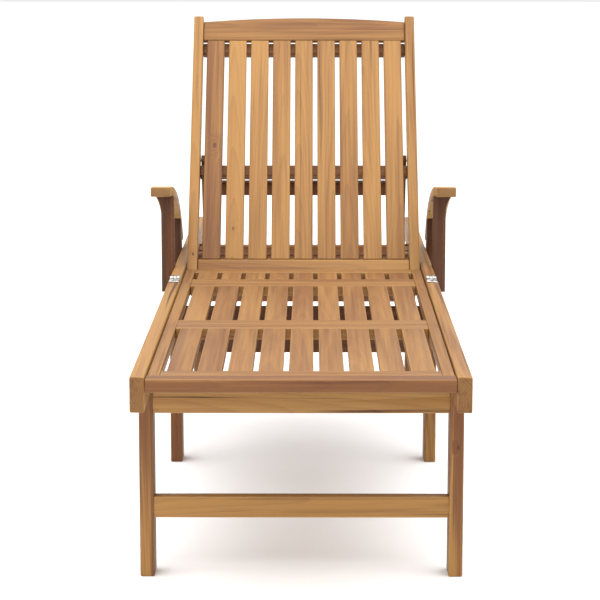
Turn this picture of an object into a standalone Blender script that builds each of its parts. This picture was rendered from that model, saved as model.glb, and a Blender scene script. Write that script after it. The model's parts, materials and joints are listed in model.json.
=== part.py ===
"""Reclining hardwood sun lounger with armrests, a propped slatted back and a folding foot half.

Metres, +Z up.  The foot end points to -Y, the head end to +Y, and the origin lies on the ground
in the middle of the length and of the width.  The frame comes in five bodies: the fixed rear
half, the foot half that folds up and over, the front leg frame that folds in under it, the
backrest, and the prop that holds the backrest up.  Each moving body hangs on an empty that lies
on its joint's axis, and its pieces are laid out from there.
"""
import math

import bmesh
import bpy
from mathutils import Vector

# Overall sizes
FOOT_HALF_LENGTH = 0.945  # from the foot end to the fold
REAR_HALF_LENGTH = 0.955
OVERALL_WIDTH = 0.596  # over the arms
SEAT_HEIGHT = 0.360  # top of the side rails

# Fits and edges
FIT = 0.0003  # between two pieces that touch
FOLD_GAP = 0.0010  # between the two halves' rail ends
TURN_GAP = 0.0020  # beside a piece that swings between two others
EDGE = 0.0015  # eased edge of a board

# Side rails
RAIL_THICKNESS = 0.0225
RAIL_DEPTH = 0.055

# Slatted panels of the seat
PANEL_DROP = 0.0055  # panels lie this far below the rails' tops
PANEL_GAP = 0.0015  # open line between a panel and a rail
PANEL_DEPTH = 0.020
SLAT_THICKNESS = 0.012
SLAT_COUNT = 9
SLAT_SPACING = 0.0089  # between two slats of the seat
STILE_WIDTH = 0.0183  # a panel's outer strip
CROSS_WIDTH = 0.040  # a panel's cross strips
FRONT_CROSS_WIDTH = 0.044
PANEL_JOINT = 0.0010  # between one panel and the next
NOSING_WIDTH = 0.032
NOSING_DROP = 0.0034  # nosing lies this far below the rails' tops
NOSING_DEPTH = 0.021
FRONT_PANEL_LENGTH = 0.453
REAR_PANEL_LENGTH = 0.166
LUG_HEIGHT = 0.006  # hidden lugs that tie a panel to its rails

# Front leg frame
FRONT_LEG_SETBACK = 0.171
LEG_WIDTH = 0.050  # along the lounger
APRON_HEIGHT = 0.0345
APRON_TOP_GAP = 0.0035  # below the rails
FRONT_BAR_THICKNESS = 0.022
FRONT_BAR_RECESS = 0.002  # behind the legs' front faces
STRETCHER_HEIGHT = 0.034
FRONT_STRETCHER_CLEARANCE = 0.097  # under the front stretcher
TENON_LENGTH = 0.012
TENON_SHOULDER = 0.006

# Rear half's legs
MIDDLE_LEG_SETBACK = 0.002  # behind the fold
MIDDLE_RAIL_HEIGHT = 0.088
REAR_LEG_INSET = 0.050  # before the head end
REAR_RAIL_HEIGHT = 0.028
REAR_RAIL_GAP = 0.0035  # below the rails
REAR_STRETCHER_CLEARANCE = 0.170

# Arms
ARM_WIDTH = 0.0395
ARM_GAP = 0.0010  # beside the front rails, which pass between the arms as the foot half folds
ARM_THICKNESS = 0.019
ARM_START = 0.090  # behind the fold
ARM_REACH = 0.411
ARM_RISE = 0.168  # top of the arm's front end above the rails
ARM_END_RISE = 0.010  # arm's rear end above the rails
ARM_TOP_PULL = (0.180, 0.010)  # how far the top curve first runs back, and drops
ARM_END_PULL = (0.066, 0.090)  # how far before, and above, its end the curve turns down
POST_THICKNESS = 0.0240
POST_WIDTH = 0.038
FRONT_POST_OFFSET = 0.149  # behind the fold
REAR_POST_OFFSET = 0.405
POST_TAIL = 0.048  # how far the posts reach down the rails
CORBEL_REACH = 0.0088
CORBEL_HEIGHT = 0.032

# Backrest
BACK_ANGLE = math.radians(54.5)
BACK_LENGTH = 0.603
BACK_CLEARANCE = 0.0075  # behind the rear seat panel
BACK_STILE_WIDTH = 0.020
BACK_STILE_DEPTH = 0.035
BACK_SLAT_SPACING = 0.0095
BACK_SIDE_GAP = 0.0087  # between a stile and the outer slat
BOTTOM_RAIL_START = -0.012
BOTTOM_RAIL_WIDTH = 0.038
TOP_RAIL_END_WIDTH = 0.046
TOP_RAIL_DROP = 0.011  # top rail's ends below the stiles' tops
TOP_RAIL_CROWN = 0.010
BATTEN_WIDTH = 0.025
BATTEN_THICKNESS = 0.018
MIDDLE_BATTEN_START = 0.225
PIVOT_RADIUS = 0.004

# Prop behind the back
PROP_PIVOT_OFFSET = 0.018  # above the middle batten
PROP_SLAT_GAP = 0.0015  # between the prop and the slats when it lies along them
PROP_ANGLE = math.radians(-66.3)
FOOT_BAR_DROP = 0.022  # foot bar at rest below the rails' tops
PROP_ARM_WIDTH = 0.020
PROP_ARM_THICKNESS = 0.020
PROP_SIDE_GAP = 0.0015
PROP_BOLT_RADIUS = 0.003
CROSS_BAR_OFFSET = 0.066
CROSS_BAR_WIDTH = 0.030
CROSS_BAR_THICKNESS = 0.014
FOOT_BAR_RADIUS = 0.008

# Notched racks that the prop stands in
RACK_THICKNESS = 0.0140
RACK_START_GAP = 0.012  # rack in front of the foot bar at rest
RACK_LENGTH = 0.282
RACK_TIP_SAG = 0.0095
RACK_TIP_DROP = 0.0016  # teeth below the foot bar's underside
NOTCH_COUNT = 6
NOTCH_DEPTH = 0.006
NOTCH_RADIUS = 0.0095
RACK_WEB = 0.0078  # wood left under the deepest notch

# Butt hinges
KNUCKLE_RADIUS = 0.0030
HINGE_PIN_RADIUS = 0.0015
LEAF_THICKNESS = 0.0020
FOLD_LEAF_LENGTH = 0.038
LEG_LEAF_LENGTH = 0.030
HINGE_WIDTH = 0.0190
KNUCKLE_GAP = 0.0004

# Worked out from the sizes above
HEAD_Y = (FOOT_HALF_LENGTH + REAR_HALF_LENGTH) / 2
FOLD_Y = HEAD_Y - REAR_HALF_LENGTH
ARM_INNER = OVERALL_WIDTH / 2 - ARM_WIDTH
RAIL_OUTER = ARM_INNER - ARM_GAP
RAIL_INNER = RAIL_OUTER - RAIL_THICKNESS
RAIL_BOTTOM = SEAT_HEIGHT - RAIL_DEPTH
PANEL_TOP = SEAT_HEIGHT - PANEL_DROP
PANEL_HALF = RAIL_INNER - PANEL_GAP
REAR_PANEL_START = FOLD_Y + PANEL_JOINT / 2
BACK_PIVOT_Y = REAR_PANEL_START + REAR_PANEL_LENGTH + BACK_CLEARANCE + BACK_STILE_DEPTH / 2
BACK_PIVOT_Z = SEAT_HEIGHT - BACK_STILE_DEPTH / 2
BACK_HALF = RAIL_INNER - TURN_GAP
BACK_INNER = BACK_HALF - BACK_STILE_WIDTH
BACK_FACE = BACK_STILE_DEPTH / 2 - PANEL_DROP
PROP_HALF = BACK_INNER - PROP_SIDE_GAP
PROP_PIVOT_ALONG = MIDDLE_BATTEN_START + BATTEN_WIDTH + PROP_PIVOT_OFFSET
PROP_PIVOT_BEHIND = SLAT_THICKNESS - BACK_FACE + PROP_SLAT_GAP + PROP_ARM_WIDTH / 2
PROP_PIVOT_RISE = PROP_PIVOT_ALONG * math.sin(BACK_ANGLE) - PROP_PIVOT_BEHIND * math.cos(BACK_ANGLE)
PROP_LENGTH = ((BACK_PIVOT_Z + PROP_PIVOT_RISE - SEAT_HEIGHT + FOOT_BAR_DROP)
               / math.sin(-PROP_ANGLE))

TEAK_TONES = {"heartwood": (0.50, 0.29, 0.13, 1.0), "sapwood": (0.62, 0.40, 0.19, 1.0)}
STEEL_TONE = (0.62, 0.62, 0.60, 1.0)


def clear_scene():
    for leftover in list(bpy.data.objects):
        bpy.data.objects.remove(leftover, do_unlink=True)


def finish(name, colour, roughness, metallic):
    """A plain painted-on finish for one sub-part."""
    material = bpy.data.materials.new(name)
    material.use_nodes = True
    shader = material.node_tree.nodes["Principled BSDF"]
    shader.inputs["Base Color"].default_value = colour
    shader.inputs["Roughness"].default_value = roughness
    shader.inputs["Metallic"].default_value = metallic
    return material


def wood(name, tone="heartwood"):
    return finish(name + "_wood", TEAK_TONES[tone], 0.55, 0.0)


def steel(name):
    return finish(name + "_steel", STEEL_TONE, 0.32, 1.0)


def joint_axis(name, parent, location, turn=0.0):
    """An empty on a joint's axis, which the moving pieces hang on."""
    empty = bpy.data.objects.new(name, None)
    empty.location = location
    empty.rotation_euler = (turn, 0.0, 0.0)
    empty.parent = parent
    bpy.context.collection.objects.link(empty)
    return empty


def add_object(name, mesh, parent, material):
    piece = bpy.data.objects.new(name, mesh)
    piece.parent = parent
    if material:
        mesh.materials.append(material)
    bpy.context.collection.objects.link(piece)
    return piece


def mesh_from(name, build):
    """Run build(bm) on a new bmesh, close its normals outwards and keep it as a mesh."""
    bm = bmesh.new()
    build(bm)
    bmesh.ops.recalc_face_normals(bm, faces=bm.faces)
    mesh = bpy.data.meshes.new(name)
    bm.to_mesh(mesh)
    bm.free()
    return mesh


def place_at(axis, across, u, v):
    """A point at `across` on the named axis, with u and v on the other two, in order."""
    if axis == "X":
        return Vector((across, u, v))
    if axis == "Y":
        return Vector((u, across, v))
    return Vector((u, v, across))


def prism(name, outline, axis, low, high, parent=None, material=None, edge=0.0, smooth=False):
    """A closed outline drawn square to an axis and extruded from low to high along it."""
    def build(bm):
        start = [bm.verts.new(place_at(axis, low, u, v)) for u, v in outline]
        base = bm.faces.new(start)
        swept = bmesh.ops.extrude_face_region(bm, geom=[base])
        moved = [item for item in swept["geom"] if isinstance(item, bmesh.types.BMVert)]
        bmesh.ops.translate(bm, verts=moved, vec=place_at(axis, high - low, 0.0, 0.0))
    piece = add_object(name, mesh_from(name, build), parent, material)
    if edge:
        ease_edges(piece, edge)
    if smooth:
        piece.data.shade_smooth()
        piece.data.set_sharp_from_angle(angle=math.radians(35))
    return piece


def ease_edges(piece, width):
    bevel = piece.modifiers.new("eased_edges", "BEVEL")
    bevel.width = width
    bevel.segments = 1
    bevel.limit_method = "ANGLE"
    bevel.angle_limit = math.radians(50)
    bevel.use_clamp_overlap = True


def rectangle(u_low, u_high, v_low, v_high):
    return [(u_low, v_low), (u_high, v_low), (u_high, v_high), (u_low, v_high)]


def board(name, x, y, z, parent=None, material=None, edge=EDGE):
    """A sawn board between two x, two y and two z values."""
    return prism(name, rectangle(*y, *z), "X", min(x), max(x), parent, material, edge)


def rod(name, radius, x_low, x_high, y, z, parent=None, material=None, sides=20):
    """A round bar along X."""
    outline = circle(y, z, radius, sides)
    return prism(name, outline, "X", min(x_low, x_high), max(x_low, x_high), parent, material,
                 smooth=True)


def circle(u, v, radius, sides=20, start=0.0, turn=math.tau):
    """Points round an arc; a whole circle leaves out the repeated last point."""
    whole = abs(turn) >= math.tau
    steps = sides if whole else sides + 1
    return [(u + radius * math.cos(start + turn * i / sides),
             v + radius * math.sin(start + turn * i / sides)) for i in range(steps)]


def as_cutter(tool):
    tool.hide_render = True
    tool.display_type = "WIRE"
    return tool


def cut(piece, tool):
    """Take the tool's shape out of the piece."""
    as_cutter(tool)
    boolean = piece.modifiers.new("cut_by_" + tool.name, "BOOLEAN")
    boolean.operation = "DIFFERENCE"
    boolean.object = tool


def join(piece, tool):
    """Make the tool's shape part of the piece."""
    as_cutter(tool)
    boolean = piece.modifiers.new("joined_" + tool.name, "BOOLEAN")
    boolean.operation = "UNION"
    boolean.object = tool


def mirrored(side, low, high):
    """An x range on the left (-1) or the right (+1) side."""
    return (side * low, side * high)


SIDES = (("left", -1), ("right", 1))


def tenoned_bar(name, y, z, parent, material):
    """A bar between two legs, with a stub tenon at each end."""
    shoulder = RAIL_INNER - FIT
    tip = shoulder + TENON_LENGTH
    low, high = z
    inner_low = low + TENON_SHOULDER
    inner_high = high - TENON_SHOULDER
    outline = [(-shoulder, low), (shoulder, low), (shoulder, inner_low), (tip, inner_low),
               (tip, inner_high), (shoulder, inner_high), (shoulder, high), (-shoulder, high),
               (-shoulder, inner_high), (-tip, inner_high), (-tip, inner_low),
               (-shoulder, inner_low)]
    return prism(name, outline, "Y", y[0], y[1], parent, material)


def mortise(leg, side, y, z, parent):
    """The pocket in a leg that takes a bar's tenon."""
    opening = mirrored(side, RAIL_INNER - TENON_SHOULDER, RAIL_INNER + TENON_LENGTH + FIT)
    pocket = board(leg.name + "_mortise_" + str(len(leg.modifiers)), opening,
                   (y[0] - FIT, y[1] + FIT),
                   (z[0] + TENON_SHOULDER - FIT, z[1] - TENON_SHOULDER + FIT), parent, edge=0.0)
    cut(leg, pocket)


def slatted_panel(name, y_start, y_end, front_cross, rear_cross, top, parent, material):
    """A seat panel: strips all round and slats between the cross strips, all flush on top.

    The panel is laid out as a grid of cells, and each cell is solid or open in two layers:
    the slats fill only the upper one.
    """
    inner = PANEL_HALF - STILE_WIDTH
    slat = (2 * inner - (SLAT_COUNT + 1) * SLAT_SPACING) / SLAT_COUNT
    xs = [-RAIL_INNER + FIT, -PANEL_HALF, -inner]
    for i in range(SLAT_COUNT):
        xs.append(-inner + SLAT_SPACING + i * (slat + SLAT_SPACING))
        xs.append(xs[-1] + slat)
    xs += [inner, PANEL_HALF, RAIL_INNER - FIT]
    ys = [y_start, y_start + front_cross, y_end - rear_cross, y_end]
    zs = [top - PANEL_DEPTH, top - PANEL_DEPTH + LUG_HEIGHT, top - SLAT_THICKNESS, top]
    last = len(xs) - 2

    def solid(i, j, k):
        if not (0 <= i <= last and 0 <= j <= 2 and 0 <= k <= 2):
            return False
        if i in (0, last):
            return j != 1 and k == 0
        if i in (1, last - 1) or j != 1:
            return True
        return k == 2 and i % 2 == 1

    def build(bm):
        corners = {}

        def corner(i, j, k):
            if (i, j, k) not in corners:
                corners[i, j, k] = bm.verts.new((xs[i], ys[j], zs[k]))
            return corners[i, j, k]

        def face(*keys):
            bm.faces.new([corner(*key) for key in keys])

        for i in range(last + 1):
            for j in range(3):
                for k in range(3):
                    if not solid(i, j, k):
                        continue
                    if not solid(i - 1, j, k):
                        face((i, j, k), (i, j, k + 1), (i, j + 1, k + 1), (i, j + 1, k))
                    if not solid(i + 1, j, k):
                        face((i + 1, j, k), (i + 1, j + 1, k), (i + 1, j + 1, k + 1),
                             (i + 1, j, k + 1))
                    if not solid(i, j - 1, k):
                        face((i, j, k), (i + 1, j, k), (i + 1, j, k + 1), (i, j, k + 1))
                    if not solid(i, j + 1, k):
                        face((i, j + 1, k), (i, j + 1, k + 1), (i + 1, j + 1, k + 1),
                             (i + 1, j + 1, k))
                    if not solid(i, j, k - 1):
                        face((i, j, k), (i, j + 1, k), (i + 1, j + 1, k), (i + 1, j, k))
                    if not solid(i, j, k + 1):
                        face((i, j, k + 1), (i + 1, j, k + 1), (i + 1, j + 1, k + 1),
                             (i, j + 1, k + 1))
    return add_object(name, mesh_from(name, build), parent, material)


def hinge_leaf(name, x_mid, plate_y, plate_z, pin_y, pin_z, knuckles, parent):
    """A hinge plate with either its middle knuckle (1) or its two outer ones (2).

    The plate with two knuckles also carries the fixed pin that the middle knuckle turns on.
    """
    half = HINGE_WIDTH / 2
    third = HINGE_WIDTH / 6
    material = steel(name)
    leaf = board(name, (x_mid - half, x_mid + half), plate_y, plate_z, parent, material, 0.0)
    if knuckles == 1:
        barrel = rod(name + "_barrel", KNUCKLE_RADIUS, x_mid - third + KNUCKLE_GAP,
                     x_mid + third - KNUCKLE_GAP, pin_y, pin_z, parent, sides=16)
        join(leaf, barrel)
        for side in (-1, 1):
            space = board(name + "_space_" + str(side),
                          (x_mid + side * third - side * KNUCKLE_GAP, x_mid + side * (half + FIT)),
                          (pin_y - KNUCKLE_RADIUS - FIT, pin_y + KNUCKLE_RADIUS + FIT),
                          (pin_z - KNUCKLE_RADIUS - FIT, pin_z + KNUCKLE_RADIUS + FIT),
                          parent, edge=0.0)
            cut(leaf, space)
        bore = rod(name + "_bore", HINGE_PIN_RADIUS + FIT, x_mid - half, x_mid + half,
                   pin_y, pin_z, parent, sides=12)
        cut(leaf, bore)
        return leaf
    for side in (-1, 1):
        barrel = rod(name + "_barrel_" + str(side), KNUCKLE_RADIUS, x_mid + side * third,
                     x_mid + side * half, pin_y, pin_z, parent, sides=16)
        join(leaf, barrel)
    space = board(name + "_space", (x_mid - third, x_mid + third),
                  (pin_y - KNUCKLE_RADIUS - FIT, pin_y + KNUCKLE_RADIUS + FIT),
                  (pin_z - KNUCKLE_RADIUS - FIT, pin_z + KNUCKLE_RADIUS + FIT), parent, edge=0.0)
    cut(leaf, space)
    pin = rod(name + "_pin", HINGE_PIN_RADIUS, x_mid - half + KNUCKLE_GAP,
              x_mid + half - KNUCKLE_GAP, pin_y, pin_z, parent, sides=12)
    join(leaf, pin)
    return leaf


def arm_top(t):
    """The arm's top line, a single cubic curve from its front end to its rear end."""
    start = Vector((FOLD_Y + ARM_START, SEAT_HEIGHT + ARM_RISE))
    end = Vector((FOLD_Y + ARM_START + ARM_REACH, SEAT_HEIGHT + ARM_END_RISE))
    first = start + Vector((ARM_TOP_PULL[0], -ARM_TOP_PULL[1]))
    second = end + Vector((-ARM_END_PULL[0], ARM_END_PULL[1]))
    s = 1.0 - t
    point = s ** 3 * start + 3 * s * s * t * first + 3 * s * t * t * second + t ** 3 * end
    slope = 3 * s * s * (first - start) + 6 * s * t * (second - first) + 3 * t * t * (end - second)
    return point, slope.normalized()


def arm_line(drop, steps=14):
    """Points at an even depth `drop` under the arm's top line."""
    points = []
    for i in range(steps + 1):
        point, slope = arm_top(i / steps)
        points.append((point.x + slope.y * drop, point.y - slope.x * drop))
    return points


def height_on(line, y):
    """Height of a polyline at y."""
    for (y0, z0), (y1, z1) in zip(line, line[1:]):
        if y0 <= y <= y1:
            return z0 + (z1 - z0) * (y - y0) / (y1 - y0)
    return line[-1][1]


def build_arm(label, side):
    top = arm_line(0.0)
    under = arm_line(ARM_THICKNESS)
    floor = SEAT_HEIGHT + ARM_END_RISE
    last = under[-1]
    before = under[-2]
    reach = (floor - before[1]) / (last[1] - before[1])
    under[-1] = (before[0] + (last[0] - before[0]) * reach, floor)
    x_low, x_high = sorted(mirrored(side, ARM_INNER, ARM_INNER + ARM_WIDTH))
    name = "arm_" + label
    return prism(name, top + under[::-1], "X", x_low, x_high, None, wood(name), EDGE)


def build_post(name, side, y_front, reach, material):
    """An arm post on the rail's outer face, topped to fit under the arm."""
    seat = arm_line(ARM_THICKNESS + FIT)
    y_back = y_front + POST_WIDTH
    foot = SEAT_HEIGHT - POST_TAIL
    top = [(y, height_on(seat, y)) for y in (y_back, (y_front + y_back) / 2, y_front)]
    outline = [(y_front, foot), (y_back, foot)] + top
    x_low, x_high = sorted(mirrored(side, RAIL_OUTER + FIT, RAIL_OUTER + FIT + reach))
    return prism(name, outline, "X", x_low, x_high, None, material)


def build_arm_posts(label, side):
    name = "front_post_" + label
    y_front = FOLD_Y + FRONT_POST_OFFSET
    post = build_post(name, side, y_front, POST_THICKNESS + CORBEL_REACH, wood(name))
    top = height_on(arm_line(ARM_THICKNESS + FIT), y_front)
    outer = RAIL_OUTER + FIT + POST_THICKNESS
    tip = outer + CORBEL_REACH
    beyond = tip + EDGE
    start = top - CORBEL_HEIGHT
    steps = 6
    hollow = []
    for i in range(steps + 1):
        t = i / steps
        hollow.append((side * (outer + CORBEL_REACH * t * t), start + (CORBEL_HEIGHT - EDGE) * t))
    outline = hollow + [(side * beyond, top - EDGE), (side * beyond, RAIL_BOTTOM - EDGE),
                        (side * outer, RAIL_BOTTOM - EDGE)]
    flare = prism(name + "_flare", outline, "Y", y_front - EDGE, y_front + POST_WIDTH + EDGE)
    cut(post, flare)

    name = "rear_post_" + label
    build_post(name, side, FOLD_Y + REAR_POST_OFFSET, POST_THICKNESS, wood(name))


def build_rear_half():
    """The fixed half: rails, legs, the short seat panel, arms and racks."""
    rail_start = FOLD_Y + FOLD_GAP / 2
    middle_front = FOLD_Y + MIDDLE_LEG_SETBACK
    middle_bar_y = (middle_front + FRONT_BAR_RECESS,
                    middle_front + FRONT_BAR_RECESS + FRONT_BAR_THICKNESS)
    rear_back = HEAD_Y - REAR_LEG_INSET
    rear_front = rear_back - LEG_WIDTH
    rear_bar_y = (rear_back - FRONT_BAR_RECESS - FRONT_BAR_THICKNESS, rear_back - FRONT_BAR_RECESS)
    middle_rail_z = (RAIL_BOTTOM - FIT - MIDDLE_RAIL_HEIGHT, RAIL_BOTTOM - FIT)
    rear_rail_z = (RAIL_BOTTOM - REAR_RAIL_GAP - REAR_RAIL_HEIGHT, RAIL_BOTTOM - REAR_RAIL_GAP)
    rear_stretcher_z = (REAR_STRETCHER_CLEARANCE, REAR_STRETCHER_CLEARANCE + STRETCHER_HEIGHT)
    for label, side in SIDES:
        x = mirrored(side, RAIL_INNER, RAIL_OUTER)
        rail = "rear_rail_" + label
        bolt_hole = rod(rail + "_bolt_hole", PIVOT_RADIUS + FIT, side * (RAIL_INNER - EDGE),
                        side * (RAIL_OUTER + EDGE), BACK_PIVOT_Y, BACK_PIVOT_Z)
        cut(board(rail, x, (rail_start, HEAD_Y), (RAIL_BOTTOM, SEAT_HEIGHT), None, wood(rail)),
            bolt_hole)

        name = "middle_leg_" + label
        leg = board(name, x, (middle_front, middle_front + LEG_WIDTH), (0.0, RAIL_BOTTOM - FIT),
                    None, wood(name))
        mortise(leg, side, middle_bar_y, middle_rail_z, None)

        name = "rear_leg_" + label
        leg = board(name, x, (rear_front, rear_back), (0.0, RAIL_BOTTOM - FIT), None, wood(name))
        mortise(leg, side, rear_bar_y, rear_rail_z, None)
        mortise(leg, side, rear_bar_y, rear_stretcher_z, None)

        build_arm(label, side)
        build_arm_posts(label, side)
        build_rack(label, side)
        hinge_leaf("fold_hinge_rear_leaf_" + label, side * (RAIL_INNER + RAIL_OUTER) / 2,
                   (FOLD_Y, FOLD_Y + FOLD_LEAF_LENGTH),
                   (SEAT_HEIGHT + FIT, SEAT_HEIGHT + FIT + LEAF_THICKNESS),
                   FOLD_Y, SEAT_HEIGHT + FIT + KNUCKLE_RADIUS, 2, None)
    tenoned_bar("middle_cross_rail", middle_bar_y, middle_rail_z, None, wood("middle_cross_rail"))
    tenoned_bar("rear_cross_rail", rear_bar_y, rear_rail_z, None, wood("rear_cross_rail"))
    tenoned_bar("rear_stretcher", rear_bar_y, rear_stretcher_z, None, wood("rear_stretcher"))
    slatted_panel("rear_seat_panel", REAR_PANEL_START, REAR_PANEL_START + REAR_PANEL_LENGTH,
                  CROSS_WIDTH, CROSS_WIDTH, PANEL_TOP, None, wood("rear_seat_panel", "sapwood"))


def foot_bar_y():
    """How far back the prop's foot bar lies at rest."""
    return (BACK_PIVOT_Y + PROP_PIVOT_ALONG * math.cos(BACK_ANGLE)
            + PROP_PIVOT_BEHIND * math.sin(BACK_ANGLE) + PROP_LENGTH * math.cos(PROP_ANGLE))


def build_rack(label, side):
    """A strip inside the rail, notched along its sagging top for the prop's foot bar."""
    foot = foot_bar_y()
    start = foot - RACK_START_GAP
    end = start + RACK_LENGTH
    rest = SEAT_HEIGHT - FOOT_BAR_DROP - FOOT_BAR_RADIUS - RACK_TIP_DROP
    bottom = rest - RACK_TIP_SAG - NOTCH_DEPTH - RACK_WEB
    steps = 20
    top = []
    for i in range(steps + 1):
        t = i / steps
        top.append((end + (start - end) * t, rest - RACK_TIP_SAG * 4 * t * (1 - t)))
    name = "rack_" + label
    x_low, x_high = sorted(mirrored(side, RAIL_INNER - FIT - RACK_THICKNESS, RAIL_INNER - FIT))
    outline = [(start, bottom), (end, bottom)] + top
    rack = prism(name, outline, "X", x_low, x_high, None, wood(name))
    pitch = (RACK_LENGTH - 2 * RACK_START_GAP) / (NOTCH_COUNT - 1)
    for i in range(NOTCH_COUNT):
        y = foot + i * pitch
        t = (y - start) / RACK_LENGTH
        tip = rest - RACK_TIP_SAG * 4 * t * (1 - t)
        notch = rod(name + "_notch_" + str(i + 1), NOTCH_RADIUS, x_low - EDGE, x_high + EDGE, y,
                    tip + NOTCH_RADIUS - NOTCH_DEPTH, sides=24)
        cut(rack, notch)


def build_foot_half():
    """The half that folds up and over, laid out from its hinge pin."""
    pin_z = SEAT_HEIGHT + FIT + KNUCKLE_RADIUS
    axis = joint_axis("foot_half_axis", None, (0.0, FOLD_Y, pin_z))
    top = SEAT_HEIGHT - pin_z
    bottom = top - RAIL_DEPTH
    panel_top = top - PANEL_DROP
    foot = -FOOT_HALF_LENGTH
    leg_pin_y = foot + FRONT_LEG_SETBACK + LEG_WIDTH + FIT + KNUCKLE_RADIUS
    leg_pin_z = bottom - FIT - KNUCKLE_RADIUS
    for label, side in SIDES:
        x = mirrored(side, RAIL_INNER, RAIL_OUTER)
        name = "front_rail_" + label
        board(name, x, (foot, -FOLD_GAP / 2), (bottom, top), axis, wood(name))
        mid = side * (RAIL_INNER + RAIL_OUTER) / 2
        hinge_leaf("fold_hinge_front_leaf_" + label, mid, (-FOLD_LEAF_LENGTH, 0.0),
                   (top + FIT, top + FIT + LEAF_THICKNESS), 0.0, 0.0, 1, axis)
        hinge_leaf("leg_hinge_rail_leaf_" + label, mid, (leg_pin_y, leg_pin_y + LEG_LEAF_LENGTH),
                   (bottom - FIT - LEAF_THICKNESS, bottom - FIT), leg_pin_y, leg_pin_z, 2, axis)
    board("nosing_rail", (-RAIL_INNER + FIT, RAIL_INNER - FIT), (foot, foot + NOSING_WIDTH),
          (top - NOSING_DROP - NOSING_DEPTH, top - NOSING_DROP), axis, wood("nosing_rail"))
    front_start = foot + NOSING_WIDTH + PANEL_JOINT
    front_end = front_start + FRONT_PANEL_LENGTH
    slatted_panel("front_seat_panel", front_start, front_end, FRONT_CROSS_WIDTH, CROSS_WIDTH,
                  panel_top, axis, wood("front_seat_panel", "sapwood"))
    slatted_panel("middle_seat_panel", front_end + PANEL_JOINT, -PANEL_JOINT / 2, CROSS_WIDTH,
                  CROSS_WIDTH, panel_top, axis, wood("middle_seat_panel", "sapwood"))
    build_front_legs(joint_axis("front_leg_axis", axis, (0.0, leg_pin_y, leg_pin_z)))


def build_front_legs(axis):
    """The leg frame that folds in under the foot half, laid out from its hinge pins."""
    back = -KNUCKLE_RADIUS - FIT
    front = back - LEG_WIDTH
    top = KNUCKLE_RADIUS
    floor = -(RAIL_BOTTOM - FIT - KNUCKLE_RADIUS)
    bar_y = (front + FRONT_BAR_RECESS, front + FRONT_BAR_RECESS + FRONT_BAR_THICKNESS)
    apron_top = top + FIT - APRON_TOP_GAP
    apron_z = (apron_top - APRON_HEIGHT, apron_top)
    stretcher_low = floor + FRONT_STRETCHER_CLEARANCE
    stretcher_z = (stretcher_low, stretcher_low + STRETCHER_HEIGHT)
    for label, side in SIDES:
        name = "front_leg_" + label
        leg = board(name, mirrored(side, RAIL_INNER, RAIL_OUTER), (front, back), (floor, top),
                    axis, wood(name))
        mortise(leg, side, bar_y, apron_z, axis)
        mortise(leg, side, bar_y, stretcher_z, axis)
        hinge_leaf("leg_hinge_leg_leaf_" + label, side * (RAIL_INNER + RAIL_OUTER) / 2,
                   (back + FIT, back + FIT + LEAF_THICKNESS), (-LEG_LEAF_LENGTH, 0.0),
                   0.0, 0.0, 1, axis)
    tenoned_bar("front_apron", bar_y, apron_z, axis, wood("front_apron"))
    tenoned_bar("front_stretcher", bar_y, stretcher_z, axis, wood("front_stretcher"))


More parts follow.
